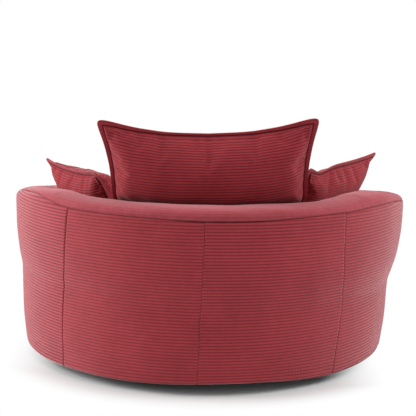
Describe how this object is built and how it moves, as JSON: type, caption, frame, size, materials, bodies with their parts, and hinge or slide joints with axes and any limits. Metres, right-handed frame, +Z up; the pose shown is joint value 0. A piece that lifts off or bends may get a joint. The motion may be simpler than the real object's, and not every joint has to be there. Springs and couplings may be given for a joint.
{
  "type": "swivel barrel chair",
  "caption": "Round drum-shaped lounge chair in wide-ribbed cord that turns on a low round plinth, with a thick seat cushion, a wide back cushion and scatter cushions.",
  "frame": {"origin": "on the floor, on the swivel axis", "axes": "+X to the sitter's left, +Y to the back of the chair, +Z up"},
  "size_m": [1.2594, 1.249, 0.7869],
  "materials": {
    "cord": "wide-ribbed red cord with a soft sheen",
    "cord_cushion": "wide-ribbed red cord on loose cushions",
    "plywood": "plain sanded plywood",
    "hardboard": "thin pressed board",
    "black_paint": "satin black paint on board",
    "nylon": "matte black",
    "zinc_steel": "bright zinc plate",
    "webbing": "woven elastic strap",
    "lining": "thin black non-woven lining",
    "wadding": "off-white wadding"
  },
  "bodies": {
    "base": {"base_plinth": "black_paint", "floor_glide_1": "nylon", "floor_glide_2": "nylon", "floor_glide_3": "nylon", "floor_glide_4": "nylon", "lower_swivel_plate": "zinc_steel", "lower_plate_screw_1": "zinc_steel", "lower_plate_screw_2": "zinc_steel", "lower_plate_screw_3": "zinc_steel", "lower_plate_screw_4": "zinc_steel", "ball_race": "zinc_steel", "centre_rivet": "zinc_steel"},
    "shell": {"upper_swivel_plate": "zinc_steel", "upper_plate_bolt_1": "zinc_steel", "upper_plate_bolt_2": "zinc_steel", "upper_plate_bolt_3": "zinc_steel", "upper_plate_bolt_4": "zinc_steel", "mounting_board": "plywood", "bottom_ring": "plywood", "dust_cover": "lining", "seat_ring": "plywood", "top_rail": "plywood", "rib_1": "plywood", "rib_2": "plywood", "rib_3": "plywood", "rib_4": "plywood", "rib_5": "plywood", "rib_6": "plywood", "rib_7": "plywood", "front_rib_1": "plywood", "front_rib_2": "plywood", "webbing_lengthwise_1": "webbing", "webbing_lengthwise_2": "webbing", "webbing_lengthwise_3": "webbing", "webbing_crosswise_1": "webbing", "webbing_crosswise_2": "webbing", "webbing_crosswise_3": "webbing", "deck_pad": "wadding", "backing_board_back": "hardboard", "backing_board_left": "hardboard", "backing_board_right": "hardboard", "backing_board_front": "hardboard", "cover_left_side": "cord", "cover_back_left": "cord", "cover_back_right": "cord", "cover_right_side": "cord", "cover_front_border": "cord", "rim_pad_back": "cord", "rim_pad_left_arm": "cord", "rim_pad_right_arm": "cord", "inner_pad_back": "cord", "inner_pad_left_arm": "cord", "inner_pad_right_arm": "cord", "arm_facing_left": "cord", "arm_facing_right": "cord"},
    "seat_cushion": {"seat_cushion": "cord_cushion"},
    "back_cushion": {"back_cushion": "cord_cushion"},
    "scatter_cushion_left": {"scatter_cushion_left": "cord_cushion"},
    "scatter_cushion_right": {"scatter_cushion_right": "cord_cushion"}
  },
  "joints": [
    {"name": "swivel", "type": "hinge", "parent": "base", "child": "shell", "pos_m": [0, 0, 0.048], "axis": [0, 0, 1], "continuous": true},
    {"name": "seat_cushion_lift", "type": "slide", "parent": "shell", "child": "seat_cushion", "axis": [0, 0, 1], "range_m": [0, 0.25]},
    {"name": "back_cushion_lift", "type": "slide", "parent": "seat_cushion", "child": "back_cushion", "axis": [0, 0, 1], "range_m": [0, 0.25]},
    {"name": "left_scatter_lift", "type": "slide", "parent": "seat_cushion", "child": "scatter_cushion_left", "axis": [0, 0, 1], "range_m": [0, 0.25]},
    {"name": "right_scatter_lift", "type": "slide", "parent": "seat_cushion", "child": "scatter_cushion_right", "axis": [0, 0, 1], "range_m": [0, 0.25]}
  ]
}
